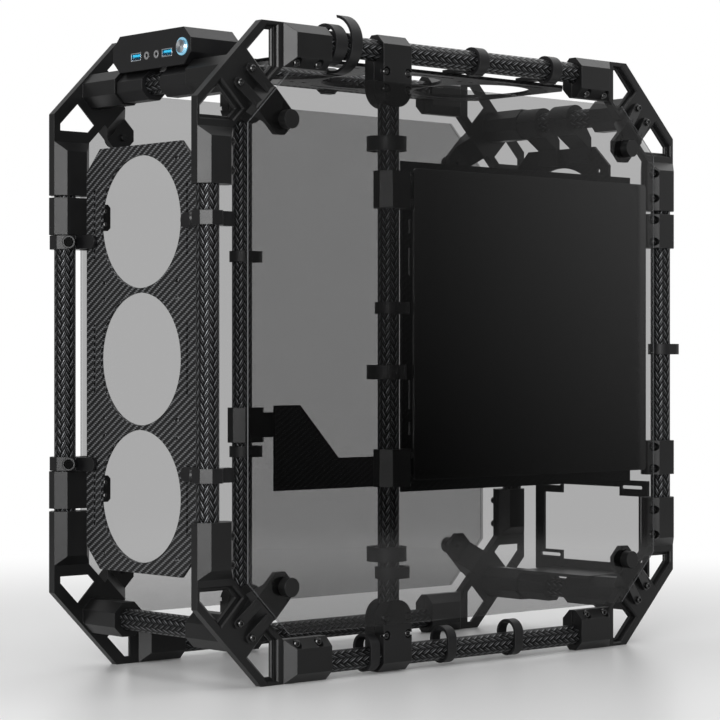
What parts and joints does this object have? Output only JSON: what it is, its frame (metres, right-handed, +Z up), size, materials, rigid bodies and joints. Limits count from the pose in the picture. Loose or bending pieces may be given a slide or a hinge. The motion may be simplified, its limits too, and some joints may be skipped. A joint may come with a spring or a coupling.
{
  "type": "computer case",
  "caption": "Open-frame computer case of carbon tubes in milled corner brackets, with fan plates, a motherboard tray, a power supply bracket, port box and clear side panels.",
  "frame": {"origin": "on the ground, in the middle of the case in width and depth", "axes": "+Z up, -Y towards the front with the fan plate and the port box, +X to the right as seen from the front"},
  "size_m": [0.259, 0.6123, 0.5848],
  "materials": {
    "black_anodised": "fine bead-blasted black anodising",
    "carbon_tube": "satin clear coat over a braided carbon sleeve",
    "carbon_sheet": "satin twill carbon sheet",
    "smoked_sheet": "polished smoked clear sheet",
    "knob_black": "black anodised, turned",
    "black_plastic": "fine matt black",
    "socket_steel": "plated sheet steel",
    "black_insert": "moulded black"
  },
  "bodies": {
    "frame": {"audio_jacks": "black_insert", "cable_hook_ring": "black_plastic", "cable_loops": "black_plastic", "cable_rings": "black_plastic", "corner_front_left_bottom": "black_anodised", "corner_front_left_top": "black_anodised", "corner_front_right_bottom": "black_anodised", "corner_front_right_top": "black_anodised", "corner_rear_left_bottom": "black_anodised", "corner_rear_left_top": "black_anodised", "corner_rear_right_bottom": "black_anodised", "corner_rear_right_top": "black_anodised", "cover_standoffs": "black_anodised", "cross_tube_front_bottom": "carbon_tube", "cross_tube_front_top": "carbon_tube", "cross_tube_rear_bottom": "carbon_tube", "cross_tube_rear_top": "carbon_tube", "front_fan_clips": "black_plastic", "front_fan_plate": "carbon_sheet", "motherboard_tray": "carbon_sheet", "panel_knobs_left": "knob_black", "panel_knobs_right": "knob_black", "port_box": "black_plastic", "port_box_clamps": "black_plastic", "post_front_left": "carbon_tube", "post_front_right": "carbon_tube", "post_middle_left": "carbon_tube", "post_middle_right": "carbon_tube", "post_rear_left": "carbon_tube", "post_rear_right": "carbon_tube", "power_bezel": "black_anodised", "power_supply_bracket": "carbon_sheet", "power_supply_clamps": "black_plastic", "rail_left_bottom": "carbon_tube", "rail_left_top": "carbon_tube", "rail_right_bottom": "carbon_tube", "rail_right_top": "carbon_tube", "rear_fan_plate": "carbon_sheet", "rear_hangers": "black_plastic", "riser_bracket": "carbon_sheet", "riser_clamps": "black_plastic", "side_panel_left": "smoked_sheet", "side_panel_right": "smoked_sheet", "spare_clamps": "black_plastic", "tee_left_bottom": "black_anodised", "tee_left_top": "black_anodised", "tee_right_bottom": "black_anodised", "tee_right_top": "black_anodised", "top_fan_clips": "black_plastic", "top_fan_plate": "carbon_sheet", "tray_clamps": "black_plastic", "tray_cover": "smoked_sheet", "usb_sockets": "socket_steel", "usb_tongues": "black_insert"},
    "button": {"power_button": "black_anodised"}
  },
  "joints": [
    {"name": "power_button", "type": "slide", "parent": "frame", "child": "button", "axis": [0, 1, 0], "range_m": [0, 0.0015], "stiffness_N_per_m": 300}
  ]
}
